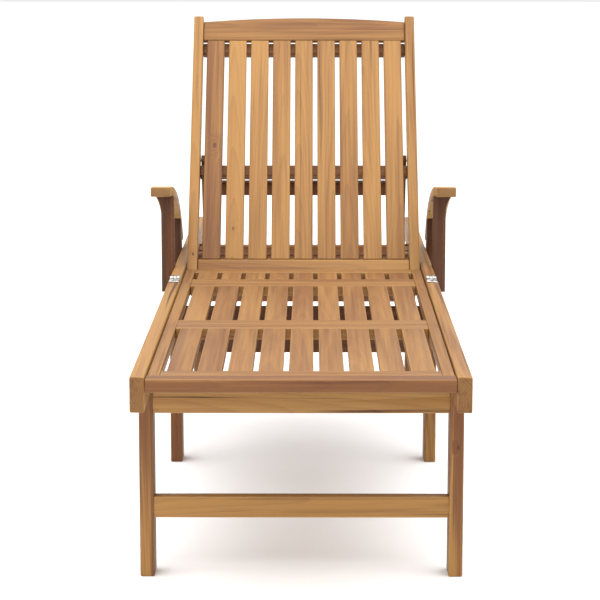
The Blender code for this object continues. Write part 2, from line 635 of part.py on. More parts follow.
def build_backrest():
    """The slatted back, laid out flat from its pivot: y runs up the back, z out of its face."""
    axis = joint_axis("backrest_axis", None, (0.0, BACK_PIVOT_Y, BACK_PIVOT_Z), BACK_ANGLE)
    half_depth = BACK_STILE_DEPTH / 2
    prop_y = PROP_PIVOT_ALONG
    prop_z = -PROP_PIVOT_BEHIND
    for label, side in SIDES:
        name = "back_stile_" + label
        lower_end = circle(0.0, 0.0, half_depth, 12, math.pi / 2, math.pi)
        outline = lower_end + [(BACK_LENGTH, -half_depth), (BACK_LENGTH, half_depth)]
        x_low, x_high = sorted(mirrored(side, BACK_INNER, BACK_HALF))
        stile = prism(name, outline, "X", x_low, x_high, axis, wood(name), EDGE)
        for hole, radius, y, z in (("pivot", PIVOT_RADIUS, 0.0, 0.0),
                                   ("prop", PROP_BOLT_RADIUS, prop_y, prop_z)):
            bore = rod(name + "_" + hole, radius + FIT, x_low - EDGE, x_high + EDGE, y, z, axis)
            cut(stile, bore)
        rod("back_pivot_bolt_" + label, PIVOT_RADIUS, side * (BACK_INNER + FIT),
            side * (RAIL_OUTER - FIT), 0.0, 0.0, axis, steel("back_pivot_bolt_" + label))
        rod("prop_bolt_" + label, PROP_BOLT_RADIUS, side * (PROP_HALF - PROP_ARM_THICKNESS + EDGE),
            side * (BACK_HALF - FIT), prop_y, prop_z, axis, steel("prop_bolt_" + label))
    inner = BACK_INNER - FIT
    bottom_rail_end = BOTTOM_RAIL_START + BOTTOM_RAIL_WIDTH
    board("back_bottom_rail", (-inner, inner), (BOTTOM_RAIL_START, bottom_rail_end),
          (BACK_FACE - SLAT_THICKNESS, BACK_FACE), axis, wood("back_bottom_rail"))
    top_rail_top = BACK_LENGTH - TOP_RAIL_DROP
    top_rail_start = top_rail_top - TOP_RAIL_END_WIDTH
    build_top_rail(inner, top_rail_start, top_rail_top, axis)
    slats_start = bottom_rail_end + FIT
    slats_end = top_rail_start - FIT
    slat_half = BACK_INNER - BACK_SIDE_GAP
    slat = (2 * slat_half - (SLAT_COUNT - 1) * BACK_SLAT_SPACING) / SLAT_COUNT
    for i in range(SLAT_COUNT):
        left = -slat_half + i * (slat + BACK_SLAT_SPACING)
        name = "back_slat_" + str(i + 1)
        tone = "sapwood" if i % 3 == 1 else "heartwood"
        board(name, (left, left + slat), (slats_start, slats_end),
              (BACK_FACE - SLAT_THICKNESS, BACK_FACE), axis, wood(name, tone))
    batten_z = (BACK_FACE - SLAT_THICKNESS - FIT - BATTEN_THICKNESS,
                BACK_FACE - SLAT_THICKNESS - FIT)
    for name, y in (("lower_batten", bottom_rail_end - BATTEN_WIDTH / 2 + FIT),
                    ("middle_batten", MIDDLE_BATTEN_START),
                    ("upper_batten", slats_end - BATTEN_WIDTH)):
        board(name, (-inner, inner), (y, y + BATTEN_WIDTH), batten_z, axis, wood(name))
    build_prop(joint_axis("prop_axis", axis, (0.0, prop_y, prop_z), PROP_ANGLE - BACK_ANGLE))


def build_top_rail(inner, start, end, axis):
    """The back's top rail, with a crowned upper edge."""
    steps = 16
    crown = []
    for i in range(steps + 1):
        across = 1 - 2 * i / steps
        crown.append((inner * across, end + TOP_RAIL_CROWN * (1 - across * across)))
    outline = [(-inner, start), (inner, start)] + crown
    prism("back_top_rail", outline, "Z", BACK_FACE - SLAT_THICKNESS, BACK_FACE, axis,
          wood("back_top_rail"), EDGE)


def build_prop(axis):
    """The prop, laid out from its bolts: y runs down to the foot bar."""
    half = PROP_ARM_WIDTH / 2
    arm_inner = PROP_HALF - PROP_ARM_THICKNESS
    for label, side in SIDES:
        name = "prop_arm_" + label
        head = circle(0.0, 0.0, half, 10, math.pi / 2, math.pi)
        tail = circle(PROP_LENGTH, 0.0, half, 10, -math.pi / 2, math.pi)
        x_low, x_high = sorted(mirrored(side, arm_inner, PROP_HALF))
        arm = prism(name, head + tail, "X", x_low, x_high, axis, wood(name))
        bolt_hole = rod(name + "_bolt_hole", PROP_BOLT_RADIUS + FIT, x_low - EDGE, x_high + EDGE,
                        0.0, 0.0, axis)
        cut(arm, bolt_hole)
        bar_hole = rod(name + "_bar_hole", FOOT_BAR_RADIUS + FIT, x_low - EDGE, x_high + EDGE,
                       PROP_LENGTH, 0.0, axis)
        cut(arm, bar_hole)
    span = arm_inner - FIT
    board("prop_cross_bar", (-span, span),
          (CROSS_BAR_OFFSET - CROSS_BAR_WIDTH / 2, CROSS_BAR_OFFSET + CROSS_BAR_WIDTH / 2),
          (-CROSS_BAR_THICKNESS / 2, CROSS_BAR_THICKNESS / 2), axis, wood("prop_cross_bar"))
    bar_half = RAIL_INNER - TURN_GAP
    rod("prop_foot_bar", FOOT_BAR_RADIUS, -bar_half, bar_half, PROP_LENGTH, 0.0, axis,
        wood("prop_foot_bar"), sides=16)


clear_scene()
build_rear_half()
build_foot_half()
build_backrest()
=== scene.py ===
import json
import math

import bmesh
import bpy
from bpy.props import FloatProperty, FloatVectorProperty, IntProperty, PointerProperty
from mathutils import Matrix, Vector

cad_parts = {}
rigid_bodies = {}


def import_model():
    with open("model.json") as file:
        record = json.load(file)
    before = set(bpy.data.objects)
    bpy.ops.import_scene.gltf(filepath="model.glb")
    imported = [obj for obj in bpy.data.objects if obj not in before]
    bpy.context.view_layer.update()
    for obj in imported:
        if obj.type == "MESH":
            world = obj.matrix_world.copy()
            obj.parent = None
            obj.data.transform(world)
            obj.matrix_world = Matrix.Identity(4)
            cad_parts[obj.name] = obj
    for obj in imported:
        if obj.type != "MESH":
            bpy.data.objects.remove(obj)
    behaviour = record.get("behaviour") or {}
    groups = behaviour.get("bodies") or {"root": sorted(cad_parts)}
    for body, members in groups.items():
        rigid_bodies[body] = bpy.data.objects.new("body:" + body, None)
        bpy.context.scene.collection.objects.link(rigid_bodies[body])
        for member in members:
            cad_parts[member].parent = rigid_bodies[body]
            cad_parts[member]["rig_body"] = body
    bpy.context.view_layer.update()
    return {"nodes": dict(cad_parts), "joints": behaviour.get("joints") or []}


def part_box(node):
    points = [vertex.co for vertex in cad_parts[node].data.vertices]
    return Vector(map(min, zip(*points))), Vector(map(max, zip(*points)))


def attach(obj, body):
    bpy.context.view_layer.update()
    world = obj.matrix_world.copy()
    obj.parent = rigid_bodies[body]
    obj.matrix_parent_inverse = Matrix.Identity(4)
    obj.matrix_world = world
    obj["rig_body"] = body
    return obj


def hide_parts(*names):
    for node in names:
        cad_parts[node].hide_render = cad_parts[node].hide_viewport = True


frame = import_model()

bl_info = {
    "name": "Reclining Sun Lounger",
    "version": (1, 0, 0),
    "blender": (4, 5, 0),
    "location": "View3D > Sidebar > Lounger",
    "description": "Oiled teak boards, steel hinges and a plain studio round a folding sun lounger",
    "category": "Object",
}

SIDES = (("left", -1), ("right", 1))
LENGTHWISE = Vector((0.0, 1.0, 0.0))
CROSSWISE = Vector((1.0, 0.0, 0.0))
UPRIGHT = Vector((0.0, 0.0, 1.0))
JOINT_PLACES = {joint["name"]: Vector(joint["pos_m"]) for joint in frame["joints"]}
STRAIGHT = 0.999  # an along direction this close to an axis counts as square
EASED_EDGE = 0.0006
LEAF_EDGE = 0.00025
LEAF_THICKNESS = 0.0020
PIN_TO_LEAF = 0.0010  # from a hinge's pin to the open face of its upright leaf
SCREW_SHARES = (0.42, 0.82)  # along a leaf, from its pin
SCREW_SPREAD = 0.24  # of the leaf's width, to each side
SCREW_RISE = 0.0006
CAP_RADIUS, CAP_RISE, CAP_GAP = 0.0041, 0.0022, 0.0003
PLUG_SINK = 0.0002
PLUG_RISE, PLUG_TOP, PLUG_TOP_SHARE = 0.0003, 0.0005, 0.92
FRAME_SEED, SLAT_SEED, PANEL_SEED, PANEL_SEED_STEP, PLUG_SEED = 1, 40, 60, 20, 130

# Knots: how far along and across from the board's middle, and the radius. NO_KNOT is far off.
NO_KNOT = (9.0, 9.0, 0.01)
KNOTS = {"back_stile_left": (-0.262, 0.001, 0.0032), "back_slat_1": (0.004, 0.002, 0.0050),
         "back_slat_2": (-0.190, -0.003, 0.0032), "front_leg_right": (0.060, 0.002, 0.0030)}


class Value:
    """A number on a socket, which adds a Math node for each sum written with it."""

    def __init__(self, graph, socket):
        self.graph = graph
        self.socket = socket

    def _math(self, operation, first, second=None):
        inputs = {0: first}
        if second is not None:
            inputs[1] = second
        return self.graph.node("ShaderNodeMath", {"operation": operation}, inputs)

    def __add__(self, other):
        return self._math("ADD", self, other)

    __radd__ = __add__

    def __sub__(self, other):
        return self._math("SUBTRACT", self, other)

    def __rsub__(self, other):
        return self._math("SUBTRACT", other, self)

    def __mul__(self, other):
        return self._math("MULTIPLY", self, other)

    __rmul__ = __mul__

    def __truediv__(self, other):
        return self._math("DIVIDE", self, other)

    def __pow__(self, other):
        return self._math("POWER", self, other)

    def __abs__(self):
        return self._math("ABSOLUTE", self)

    def fraction(self):
        return self._math("FRACT", self)

    def root(self):
        return self._math("SQRT", self)

    def larger(self, other):
        return self._math("MAXIMUM", self, other)

    def step(self, low, high):
        """0 below low, 1 above high and a smooth rise between them."""
        settings = {"interpolation_type": "SMOOTHSTEP"}
        return self.graph.node("ShaderNodeMapRange", settings, {0: self, 1: low, 2: high})


class Graph:
    """A node tree that is written to with Python expressions."""

    def __init__(self, tree):
        self.tree = tree

    def node(self, kind, settings=None, inputs=None, output=0):
        """Add a node: its settings first, then the values or links of its sockets."""
        made = self.tree.nodes.new(kind)
        for key, value in (settings or {}).items():
            setattr(made, key, value)
        for key, value in (inputs or {}).items():
            if isinstance(value, Value):
                self.tree.links.new(value.socket, made.inputs[key])
            else:
                made.inputs[key].default_value = value
        return Value(self, made.outputs[output])

    def dot(self, first, second):
        return self.node("ShaderNodeVectorMath", {"operation": "DOT_PRODUCT"},
                         {0: first, 1: second}, "Value")

    def vector(self, x, y, z):
        return self.node("ShaderNodeCombineXYZ", None, {0: x, 1: y, 2: z})

    def noise(self, place, seed, scale=1.0, detail=2.0):
        """Noise from 0 to 1 that differs from board to board by its seed."""
        return self.node("ShaderNodeTexNoise", {"noise_dimensions": "4D"},
                         {"Vector": place, "W": seed, "Scale": scale, "Detail": detail,
                          "Roughness": 0.55}, "Fac")

    def mix(self, share, first, second):
        """A colour between two others."""
        settings = {"data_type": "RGBA", "clamp_factor": True}
        return self.node("ShaderNodeMix", settings, {0: share, 6: first, 7: second}, 2)

    def scaled(self, colour, factor):
        return self.node("ShaderNodeVectorMath", {"operation": "SCALE"},
                         {0: colour, "Scale": factor}, "Vector")


def opaque(colour):
    return (*colour, 1.0)


def teak_group(finish):
    """The teak itself, as a node group: each board gives its grain, seed and tone."""
    tree = bpy.data.node_groups.new("teak", "ShaderNodeTree")
    sockets = (("Along", "NodeSocketVector"), ("Across", "NodeSocketVector"),
               ("Centre", "NodeSocketVector"), ("Half Width", "NodeSocketFloat"),
               ("Half Depth", "NodeSocketFloat"), ("Seed", "NodeSocketFloat"),
               ("Tone", "NodeSocketFloat"), ("Sapwood", "NodeSocketFloat"),
               ("Figure", "NodeSocketFloat"), ("Contrast", "NodeSocketFloat"),
               ("Knot", "NodeSocketVector"))
    for name, kind in sockets:
        tree.interface.new_socket(name, in_out="INPUT", socket_type=kind)
    for name, kind in (("Colour", "NodeSocketColor"), ("Roughness", "NodeSocketFloat"),
                       ("Height", "NodeSocketFloat")):
        tree.interface.new_socket(name, in_out="OUTPUT", socket_type=kind)
    graph = Graph(tree)
    source = tree.nodes.new("NodeGroupInput")
    given = {name: Value(graph, source.outputs[name]) for name, _ in sockets}
    seed = given["Seed"]

    here = graph.node("ShaderNodeTexCoord", None, None, "Object")
    normal = graph.node("ShaderNodeTexCoord", None, None, "Normal")
    place = graph.node("ShaderNodeVectorMath", {"operation": "SUBTRACT"},
                       {0: here, 1: given["Centre"]})
    through = graph.node("ShaderNodeVectorMath", {"operation": "CROSS_PRODUCT"},
                         {0: given["Along"], 1: given["Across"]})
    u = graph.dot(place, given["Along"])
    v = graph.dot(place, given["Across"])
    w = graph.dot(place, through)

    # Growth rings: distance from a pith that runs nearly along the board, so that a slight
    # tilt draws the long arches of a flat-sawn face.
    slow = graph.noise(graph.vector(u * 2.2, v * 9.0, w * 9.0), seed, detail=2.0) - 0.5
    sway = graph.noise(graph.vector(u * 3.4, v * 4.0, w * 4.0), seed + 5.1, detail=1.0) - 0.5
    side = v + sway * 0.020 + (given["Figure"] - 0.5) * 0.045
    below = w + 0.030 + slow * 0.012
    radius = (side * side + below * below).root() + u * (0.012 + given["Figure"] * 0.030)

    # A knot: the rings bend round it, and the grain stretches it along the board.
    knot_radius = graph.dot(given["Knot"], UPRIGHT)
    knot_u = u - graph.dot(given["Knot"], CROSSWISE)
    knot_v = v - graph.dot(given["Knot"], LENGTHWISE)
    stretched_u = knot_u * 0.55
    reach = (stretched_u * stretched_u + knot_v * knot_v).root() / knot_radius
    near = 1.0 - reach.step(0.6, 4.0)
    core = 1.0 - reach.step(0.30, 1.0)
    eye = ((reach * 1.3).fraction() ** 3.0) * near
    radius = radius + near * 0.016

    wobble = graph.noise(graph.vector(u * 7.0, v * 60.0, w * 60.0), seed + 2.3, detail=2.0)
    ring = (radius / finish.ring_width + wobble * 0.7 + seed).fraction()
    late = ring ** 3.0
    band = graph.noise(graph.vector(radius * 190.0, seed, 0.5), seed + 9.0, detail=1.0)

    broad = graph.noise(graph.vector(u * 1.7, v * 20.0, w * 20.0), seed + 11.0, detail=2.0)
    streak = graph.noise(graph.vector(u * 2.6, v * 150.0, w * 150.0), seed + 17.0, detail=3.0)
    fibre = graph.noise(graph.vector(u * 16.0, v * 1000.0, w * 1000.0), seed + 23.0, detail=2.0)
    pore = graph.noise(graph.vector(u * 70.0, v * 1900.0, w * 1900.0), seed + 31.0, detail=1.0)
    pores = pore.step(0.62, 0.74)

    end = abs(graph.dot(normal, given["Along"])).step(0.60, 0.85)
    face = 1.0 - end

    # Colour: honey to brown by tone, pale sapwood in one edge or patch, dark mineral lines.
    contrast = given["Contrast"]
    drift = (broad - 0.5) * 1.35 + (streak - 0.5) * 1.25 + (band - 0.5) * 0.55
    tone = given["Tone"] + drift * contrast
    colour = graph.mix(tone.step(0.0, 1.0), opaque(finish.brown), opaque(finish.honey))
    colour = graph.mix((0.0 - tone).step(0.0, 1.5) * 0.95, colour, opaque(finish.dark))
    sap = (broad * 0.6 + streak * 0.4 + given["Sapwood"] * 0.9).step(0.80, 1.05)
    colour = graph.mix(sap * 0.75, colour, opaque(finish.sapwood))
    rose = graph.noise(graph.vector(u * 4.0, v * 45.0, w * 45.0), seed + 41.0, detail=1.0)
    colour = graph.mix(rose.step(0.50, 0.78) * 0.20, colour, opaque(finish.rose))
    mineral = graph.noise(graph.vector(u * 1.9, v * 105.0, w * 105.0), seed + 53.0, detail=2.0)
    lines = late * 0.20 + mineral.step(0.58, 0.72) * 0.50 * contrast
    dark = (lines + core * 0.70 + eye * 0.40) * face
    colour = graph.mix(dark + pores * 0.14 * face, colour, opaque(finish.dark))
    colour = graph.mix(end * (0.52 + late * 0.22), colour, opaque(finish.dark))

    # Eased edges rub paler than the faces.
    rim = (given["Half Width"] - abs(v)).larger(given["Half Depth"] - abs(w))
    rub = 1.0 - rim.step(0.0002, 0.0026)
    worn = graph.noise(graph.vector(u * 22.0, v * 40.0, w * 40.0), seed + 61.0, detail=2.0)
    colour = graph.mix(rub * (0.10 + worn * 0.32), colour, opaque(finish.sapwood))
    shade = 0.94 + fibre * 0.12
    colour = graph.scaled(colour, shade)

    rough = (finish.roughness + (fibre - 0.5) * 0.16 + pores * 0.10 - late * 0.05
             + end * 0.14)
    height = fibre * 0.35 + late * 0.22 - pores * 0.45

    target = tree.nodes.new("NodeGroupOutput")
    for name, value in (("Colour", colour), ("Roughness", rough), ("Height", height)):
        tree.links.new(value.socket, target.inputs[name])
    return tree


def new_material(name):
    material = bpy.data.materials.new(name)
    material.use_nodes = True
    shader = material.node_tree.nodes["Principled BSDF"]
    return material, Graph(material.node_tree), shader


def feed(graph, shader, socket, value):
    graph.tree.links.new(value.socket, shader.inputs[socket])


def teak(name, box, along, across, seed, tone, sapwood=0.0, eased=True, contrast=1.0,
         knot=NO_KNOT):
    """A board's own teak. `box` is its lowest and highest corner, as it stands."""
    finish = bpy.context.scene.lounger_finish
    group = bpy.data.node_groups.get("teak") or teak_group(finish)
    material, graph, shader = new_material(name + "_teak")
    board = graph.tree.nodes.new("ShaderNodeGroup")
    board.node_tree = group
    low, high = box
    centre = (low + high) / 2
    through = along.cross(across)
    half_width = abs((high - low).dot(across)) / 2 if eased else 1.0
    half_depth = abs((high - low).dot(through)) / 2 if eased else 1.0
    settings = {"Along": along, "Across": across, "Centre": centre, "Half Width": half_width,
                "Half Depth": half_depth, "Seed": seed * 3.7, "Tone": tone, "Sapwood": sapwood,
                "Figure": (seed * 0.381) % 1.0, "Contrast": contrast, "Knot": knot}
    for key, value in settings.items():
        board.inputs[key].default_value = value
    feed(graph, shader, "Base Color", Value(graph, board.outputs["Colour"]))
    feed(graph, shader, "Roughness", Value(graph, board.outputs["Roughness"]))
    bump = graph.node("ShaderNodeBump", None,
                      {"Height": Value(graph, board.outputs["Height"]), "Strength": 0.35,
                       "Distance": 0.0004}, "Normal")
    feed(graph, shader, "Normal", bump)
    shader.inputs["Specular IOR Level"].default_value = finish.oil
    return material


def steel(name, colour, roughness):
    """Brushed steel, with its scratches running across the lounger."""
    material, graph, shader = new_material(name)
    here = graph.node("ShaderNodeTexCoord", None, None, "Object")
    stretched = graph.node("ShaderNodeVectorMath", {"operation": "MULTIPLY"},
                           {0: here, 1: (60.0, 2600.0, 2600.0)})
    scratch = graph.noise(stretched, seed=1.0, detail=3.0)
    blotch = graph.noise(here, seed=4.0, scale=140.0, detail=3.0)
    tarnish = blotch.step(0.42, 0.80)
    base = graph.mix(tarnish * 0.55, opaque(colour), opaque([c * 0.62 for c in colour]))
    feed(graph, shader, "Base Color", graph.scaled(base, 0.88 + scratch * 0.24))
    feed(graph, shader, "Roughness", roughness + (scratch - 0.5) * 0.22 + tarnish * 0.14)
    bump = graph.node("ShaderNodeBump", None,
                      {"Height": scratch, "Strength": 0.25, "Distance": 0.0001}, "Normal")
    feed(graph, shader, "Normal", bump)
    shader.inputs["Metallic"].default_value = 1.0
    return material


def paint(piece, material):
    piece.data.materials.clear()
    piece.data.materials.append(material)


def soften(piece, width, segments=2):
    """Close the imported mesh's split edges and round what is still sharp."""
    weld = piece.modifiers.new("weld", "WELD")
    weld.merge_threshold = 0.00001
    bevel = piece.modifiers.new("eased", "BEVEL")
    bevel.width = width
    bevel.segments = segments
    bevel.limit_method = "ANGLE"
    bevel.angle_limit = math.radians(28)
    bevel.harden_normals = True
    piece.data.shade_smooth()


def ride_as(piece, body):
    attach(piece, body)
    return piece


def plank(name, low, high, edge, body, slot="teak_slats"):
    """A separate board with rounded edges, between two corners."""
    bm = bmesh.new()
    bmesh.ops.create_cube(bm, size=1.0)
    size = high - low
    centre = (low + high) / 2
    for vert in bm.verts:
        vert.co = Vector((vert.co[i] * size[i] + centre[i] for i in range(3)))
    bmesh.ops.bevel(bm, geom=bm.edges[:], offset=edge, segments=3, profile=0.5, affect="EDGES",
                    clamp_overlap=True)
    mesh = bpy.data.meshes.new(name)
    bm.to_mesh(mesh)
    bm.free()
    mesh.shade_smooth()
    mesh.set_sharp_from_angle(angle=math.radians(40))
    piece = bpy.data.objects.new(name, mesh)
    bpy.context.collection.objects.link(piece)
    return ride_as(piece, body)


def turned(name, centre, axis, profile, sides, body):
    """A turned piece: (radius, height) points spun round an axis that starts at centre."""
    bm = bmesh.new()
    turn = axis.to_track_quat("Z", "Y")
    rings = []
    for radius, height in profile:
        ring = []
        for i in range(sides):
            a = math.tau * i / sides
            spot = Vector((radius * math.cos(a), radius * math.sin(a), height))
            ring.append(bm.verts.new(centre + turn @ spot))
        rings.append(ring)
    for lower, upper in zip(rings, rings[1:]):
        for i in range(sides):
            j = (i + 1) % sides
            bm.faces.new((lower[i], lower[j], upper[j], upper[i]))
    bm.faces.new(rings[0][::-1])
    bm.faces.new(rings[-1])
    bmesh.ops.recalc_face_normals(bm, faces=bm.faces)
    mesh = bpy.data.meshes.new(name)
    bm.to_mesh(mesh)
    bm.free()
    mesh.shade_smooth()
    mesh.set_sharp_from_angle(angle=math.radians(35))
    piece = bpy.data.objects.new(name, mesh)
    bpy.context.collection.objects.link(piece)
    return ride_as(piece, body)


def dome(radius, rise, steps=4):
    """Half a button's profile, from its rim to near its middle."""
    points = [(radius, 0.0)]
    for i in range(1, steps + 1):
        a = math.pi / 2 * i / (steps + 0.4)
        points.append((radius * math.cos(a), rise * math.sin(a)))
    return points


class LoungerFinish(bpy.types.PropertyGroup):
    """Colours and surface of the timber and the steel."""

    honey: FloatVectorProperty(name="Honey", description="Colour of a pale, fresh board",
                               default=(0.308, 0.157, 0.046), subtype="COLOR", min=0.0, max=1.0)
    brown: FloatVectorProperty(name="Brown", description="Colour of a dark heartwood board",
                               default=(0.144, 0.057, 0.020), subtype="COLOR", min=0.0, max=1.0)
    sapwood: FloatVectorProperty(name="Sapwood", description="Colour of pale sapwood",
                                 default=(0.420, 0.245, 0.092), subtype="COLOR", min=0.0, max=1.0)
    rose: FloatVectorProperty(name="Rose", description="Colour of the reddish streaks",
                              default=(0.265, 0.096, 0.035), subtype="COLOR", min=0.0, max=1.0)
    dark: FloatVectorProperty(name="Dark", description="Colour of late wood and mineral lines",
                              default=(0.062, 0.023, 0.010), subtype="COLOR", min=0.0, max=1.0)
    roughness: FloatProperty(name="Roughness", description="Roughness of the oiled timber",
                             default=0.50, min=0.0, max=1.0, subtype="FACTOR")
    oil: FloatProperty(name="Oil", description="How much the oiled face mirrors light",
                       default=0.21, min=0.0, max=1.0, subtype="FACTOR")
    ring_width: FloatProperty(name="Ring Width", description="Width of one growth ring",
                              default=0.0042, min=0.001, max=0.02, subtype="DISTANCE")
    steel: FloatVectorProperty(name="Steel", description="Colour of the hinges and bolts",
                               default=(0.520, 0.510, 0.490), subtype="COLOR", min=0.0, max=1.0)


class LoungerSizes(bpy.types.PropertyGroup):
    """Sizes of the boards that make up the seat panels, and of the small fittings."""

    slat_count: IntProperty(name="Slats", description="Slats in each seat panel", default=9,
                            min=3, max=15)
    stile: FloatProperty(name="Stile", description="Width of a panel's outer strips",
                         default=0.0183, min=0.005, max=0.05, subtype="DISTANCE")
    spacing: FloatProperty(name="Spacing", description="Gap between two slats",
                           default=0.0089, min=0.002, max=0.03, subtype="DISTANCE")
    side_gap: FloatProperty(name="Side Gap", description="Gap between a panel and a rail",
                            default=0.0012, min=0.0, max=0.01, subtype="DISTANCE")
    cross: FloatProperty(name="Cross Strip", description="Width of a panel's cross strips",
                         default=0.040, min=0.01, max=0.10, subtype="DISTANCE")
    front_cross: FloatProperty(name="Front Cross Strip",
                               description="Width of the cross strip at the foot end",
                               default=0.044, min=0.01, max=0.10, subtype="DISTANCE")
    slat_depth: FloatProperty(name="Slat Depth", description="Thickness of a slat",
                              default=0.012, min=0.004, max=0.03, subtype="DISTANCE")
    joint: FloatProperty(name="Joint", description="Line left where two boards meet",
                         default=0.0003, min=0.0, max=0.002, subtype="DISTANCE")
    round_edge: FloatProperty(name="Rounded Edge", description="Radius of a slat's edges",
                              default=0.0016, min=0.0, max=0.005, subtype="DISTANCE")
    screw: FloatProperty(name="Screw Head", description="Radius of a hinge screw's head",
                         default=0.0021, min=0.001, max=0.005, subtype="DISTANCE")
    plug: FloatProperty(name="Plug", description="Radius of a wooden plug", default=0.0040,
                        min=0.002, max=0.01, subtype="DISTANCE")


class LoungerStage(bpy.types.PropertyGroup):
    """Camera and light."""

    camera_place: FloatVectorProperty(name="Camera", description="Where the camera stands",
                                      default=(0.0146, -4.1705, 1.0121), subtype="TRANSLATION")
    pitch: FloatProperty(name="Pitch", description="How far the camera looks down",
                         default=math.radians(9.43), subtype="ANGLE")
    yaw: FloatProperty(name="Yaw", description="How far the camera looks to the left",
                       default=math.radians(0.284), subtype="ANGLE")
    lens: FloatProperty(name="Lens", description="Focal length in millimetres", default=131.7,
                        min=20.0, max=400.0)
    overhead: FloatProperty(name="Overhead", description="Power of the soft light above",
                            default=190.0, min=0.0)
    fill: FloatProperty(name="Fill", description="Power of the soft light beside the camera",
                        default=22.0, min=0.0)
    ceiling: FloatProperty(name="Ceiling", description="Strength of the light from overhead",
                           default=1.50, min=0.0)
    walls: FloatProperty(name="Walls", description="Strength of the light from the sides",
                         default=0.84, min=0.0)
    floor: FloatVectorProperty(name="Floor", description="Colour of the floor",
                               default=(0.93, 0.93, 0.93), subtype="COLOR", min=0.0, max=1.0)


def back_lean():
    """The direction up the back, from the longest edge of its middle slat."""
    mesh = frame["nodes"]["back_slat_5"].data
    longest = max(mesh.edges, key=lambda e: (mesh.vertices[e.vertices[0]].co
                                             - mesh.vertices[e.vertices[1]].co).length)
    up = mesh.vertices[longest.vertices[1]].co - mesh.vertices[longest.vertices[0]].co
    up = Vector((0.0, up.y, up.z)).normalized()
    return up if up.z > 0 else -up


def prop_lean():
    """The direction down the prop, from its bolts to its foot bar."""
    low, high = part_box("prop_foot_bar")
    foot = (low + high) / 2
    down = foot - JOINT_PLACES["prop_swing"]
    return Vector((0.0, down.y, down.z)).normalized()


class LOUNGER_OT_frame_boards(bpy.types.Operator):
    """Give each carried-over board its own teak, with the grain along its length"""

    bl_idname = "lounger.frame_boards"
    bl_label = "Frame Boards"

    def execute(self, context):
        up = back_lean()
        down = prop_lean()
        # Names, along, across, tone, sapwood and contrast.
        groups = (
            (("front_rail_left", "front_rail_right", "rear_rail_left", "rear_rail_right"),
             LENGTHWISE, UPRIGHT, 0.76, 0.10, 1.7),
            (("rack_left", "rack_right"), LENGTHWISE, UPRIGHT, 0.25, 0.0, 1.7),
            # The arms' pale tone and strong sapwood are partly their own wood and partly painted
            # highlight, for the bright light on their tops.
            (("arm_left", "arm_right"), LENGTHWISE, CROSSWISE, 1.05, 0.68, 1.7),
            (("nosing_rail",), CROSSWISE, UPRIGHT, -0.06, 0.0, 1.7),
            (("front_apron",), CROSSWISE, UPRIGHT, 1.30, 0.40, 1.7),
            (("front_stretcher",), CROSSWISE, UPRIGHT, 0.82, 0.06, 2.6),
            # The middle cross rail's dark tone is painted shade, for the unlit space under the
            # seat.
            (("middle_cross_rail",), CROSSWISE, UPRIGHT, -0.80, 0.0, 1.7),
            (("rear_cross_rail", "rear_stretcher"), CROSSWISE, UPRIGHT, -0.25, 0.0, 1.7),
            (("front_leg_left", "front_leg_right"), UPRIGHT, CROSSWISE, 0.50, 0.06, 2.8),
            # The low tone of these legs is painted shade, for the seat's shadow on the middle legs;
            # the rear legs share it.
            (("middle_leg_left", "middle_leg_right", "rear_leg_left", "rear_leg_right"),
             UPRIGHT, CROSSWISE, 0.16, 0.0, 2.6),
            # The posts' very dark tone is partly their darker wood and partly painted shade, for
            # the shadow of the arms above them.
            (("front_post_left", "front_post_right", "rear_post_left", "rear_post_right"),
             UPRIGHT, CROSSWISE, -1.60, 0.0, 2.8),
            (("back_stile_left", "back_stile_right"), up, CROSSWISE, 0.88, 0.16, 1.7),
            (("back_top_rail",), CROSSWISE, up, 0.44, 0.0, 0.8),
            (("back_bottom_rail",), CROSSWISE, up, 0.86, 0.04, 1.1),
            # The battens' low tone is painted shade, standing in for their dark undersides.
            (("lower_batten", "middle_batten", "upper_batten"), CROSSWISE, up, 0.06, 0.0, 1.7),
            (("prop_arm_left", "prop_arm_right"), down, CROSSWISE, 0.30, 0.0, 1.7),
            (("prop_cross_bar", "prop_foot_bar"), CROSSWISE, down, -0.30, 0.0, 1.7),
        )
        seed = FRAME_SEED
        for names, along, across, tone, sapwood, contrast in groups:
            for name in names:
                straight = max(abs(c) for c in along) > STRAIGHT
                eased = straight and not name.startswith(("arm", "front_post", "rack"))
                node = frame["nodes"][name]
                knot = KNOTS.get(name, NO_KNOT)
                paint(node, teak(name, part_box(name), along, across, seed, tone, sapwood, eased,
                                 contrast, knot))
                soften(node, EASED_EDGE)
                seed += 1
        return {"FINISHED"}


class LOUNGER_OT_back_slats(bpy.types.Operator):
    """Give the back's slats their own teak, paler and browner from one to the next"""

    bl_idname = "lounger.back_slats"
    bl_label = "Back Slats"

    def execute(self, context):
        up = back_lean()
        tones = (0.26, 0.90, 0.80, 0.62, 0.72, 0.66, 0.56, 0.74, 0.58)
        for i, tone in enumerate(tones):
            name = f"back_slat_{i + 1}"
            sapwood = 0.30 if i in (1, 7) else 0.05
            node = frame["nodes"][name]
            paint(node, teak(name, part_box(name), up, CROSSWISE, SLAT_SEED + i, tone, sapwood,
                             eased=False, knot=KNOTS.get(name, NO_KNOT)))
            soften(node, EASED_EDGE)
        return {"FINISHED"}


